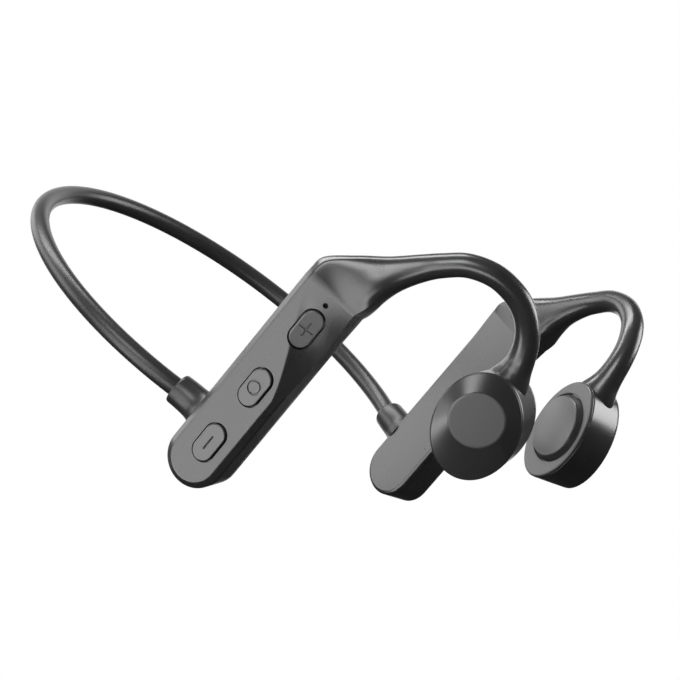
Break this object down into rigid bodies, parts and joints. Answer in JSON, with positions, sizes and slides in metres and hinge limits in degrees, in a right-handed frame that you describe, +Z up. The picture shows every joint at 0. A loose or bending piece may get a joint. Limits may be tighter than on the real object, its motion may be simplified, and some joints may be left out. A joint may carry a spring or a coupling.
{
  "type": "bone conduction headphones",
  "caption": "Neckband headphones with an ear hook and a bone conduction pod on each side, and a button bar behind the right ear.",
  "frame": {"origin": "middle of the footprint, on the surface that the two bars and the two pods stand on", "axes": "the wearer faces -Y, the neckband rises towards +Y, +Z is up, and the wearer's right side, with the buttons, is at -X"},
  "size_m": [0.1368, 0.1696, 0.0985],
  "materials": {
    "shell_plastic": "moulded matt dark grey ABS",
    "soft_sleeve": "satin dark grey silicone rubber",
    "faceplate_plastic": "moulded matt dark grey plastic",
    "pad_silicone": "soft satin dark grey silicone",
    "button_plastic": "moulded matt dark grey plastic with cut symbols",
    "flap_rubber": "matt rubber",
    "spring_wire": "drawn nickel titanium wire",
    "cable_jacket": "thin PVC jacket",
    "yoke_steel": "plated steel",
    "spring_steel": "etched spring steel",
    "magnet_nickel": "nickel plated",
    "coil_copper": "wound enamelled copper",
    "board_laminate": "green glass laminate",
    "shield_metal": "stamped nickel silver",
    "component_metal": "stamped steel",
    "cell_foil": "silver pouch foil"
  },
  "bodies": {
    "right_arm": {"right_bar_inner_cover": "shell_plastic", "right_bar_outer_shell": "shell_plastic", "right_collar": "soft_sleeve", "right_ear_hook": "soft_sleeve", "right_hook_lead": "cable_jacket", "right_hook_spring_wire": "spring_wire", "right_pod_cap": "shell_plastic", "right_pod_faceplate": "faceplate_plastic", "right_pod_housing": "shell_plastic", "right_transducer_magnet": "magnet_nickel", "right_transducer_spring": "spring_steel", "right_transducer_yoke": "yoke_steel", "circuit_board": "board_laminate", "button_switches": "component_metal", "bluetooth_module": "shield_metal", "microphone": "component_metal", "usb_port": "shield_metal", "neckband_sleeve_right": "soft_sleeve", "neckband_sleeve_centre": "soft_sleeve", "neckband_spring_wire": "spring_wire", "neckband_cable": "cable_jacket"},
    "left_arm": {"left_bar_inner_cover": "shell_plastic", "left_bar_outer_shell": "shell_plastic", "left_collar": "soft_sleeve", "left_ear_hook": "soft_sleeve", "left_hook_lead": "cable_jacket", "left_hook_spring_wire": "spring_wire", "left_pod_cap": "shell_plastic", "left_pod_faceplate": "faceplate_plastic", "left_pod_housing": "shell_plastic", "left_transducer_magnet": "magnet_nickel", "left_transducer_spring": "spring_steel", "left_transducer_yoke": "yoke_steel", "neckband_sleeve_left": "soft_sleeve", "battery": "cell_foil", "battery_board": "board_laminate"},
    "right_pad": {"right_contact_pad": "pad_silicone", "right_voice_coil": "coil_copper"},
    "left_pad": {"left_contact_pad": "pad_silicone", "left_voice_coil": "coil_copper"},
    "plus_button": {"plus_button": "button_plastic"},
    "power_button": {"power_button": "button_plastic"},
    "minus_button": {"minus_button": "button_plastic"},
    "charge_flap": {"charge_flap": "flap_rubber"}
  },
  "joints": [
    {"name": "neckband_flex", "type": "hinge", "parent": "right_arm", "child": "left_arm", "pos_m": [0, 0.08204, 0.09577], "axis": [0, -0.7002, 0.714], "range_deg": [-6, 34], "stiffness_Nm_per_rad": 0.5, "deforming": ["neckband_sleeve_centre", "neckband_spring_wire", "neckband_cable"]},
    {"name": "right_pad_buzz", "type": "slide", "parent": "right_arm", "child": "right_pad", "axis": [0.8484, 0.402, 0.3445], "range_m": [-0.00015, 0.00015], "stiffness_N_per_m": 3000, "deforming": ["right_transducer_spring"]},
    {"name": "left_pad_buzz", "type": "slide", "parent": "left_arm", "child": "left_pad", "axis": [-0.8484, 0.402, 0.3445], "range_m": [-0.00015, 0.00015], "stiffness_N_per_m": 3000, "deforming": ["left_transducer_spring"]},
    {"name": "plus_press", "type": "slide", "parent": "right_arm", "child": "plus_button", "axis": [0.9183, 0.3179, 0.2361], "range_m": [0, 0.0003], "stiffness_N_per_m": 5000},
    {"name": "power_press", "type": "slide", "parent": "right_arm", "child": "power_button", "axis": [0.9744, 0.1542, 0.1638], "range_m": [0, 0.0003], "stiffness_N_per_m": 5000},
    {"name": "minus_press", "type": "slide", "parent": "right_arm", "child": "minus_button", "axis": [0.9744, 0.1542, 0.1638], "range_m": [0, 0.0003], "stiffness_N_per_m": 5000},
    {"name": "charge_flap_hinge", "type": "hinge", "parent": "right_arm", "child": "charge_flap", "pos_m": [-0.04804, -0.00849, 0.02504], "axis": [0.225, -0.6677, -0.7096], "range_deg": [0, 110]}
  ]
}
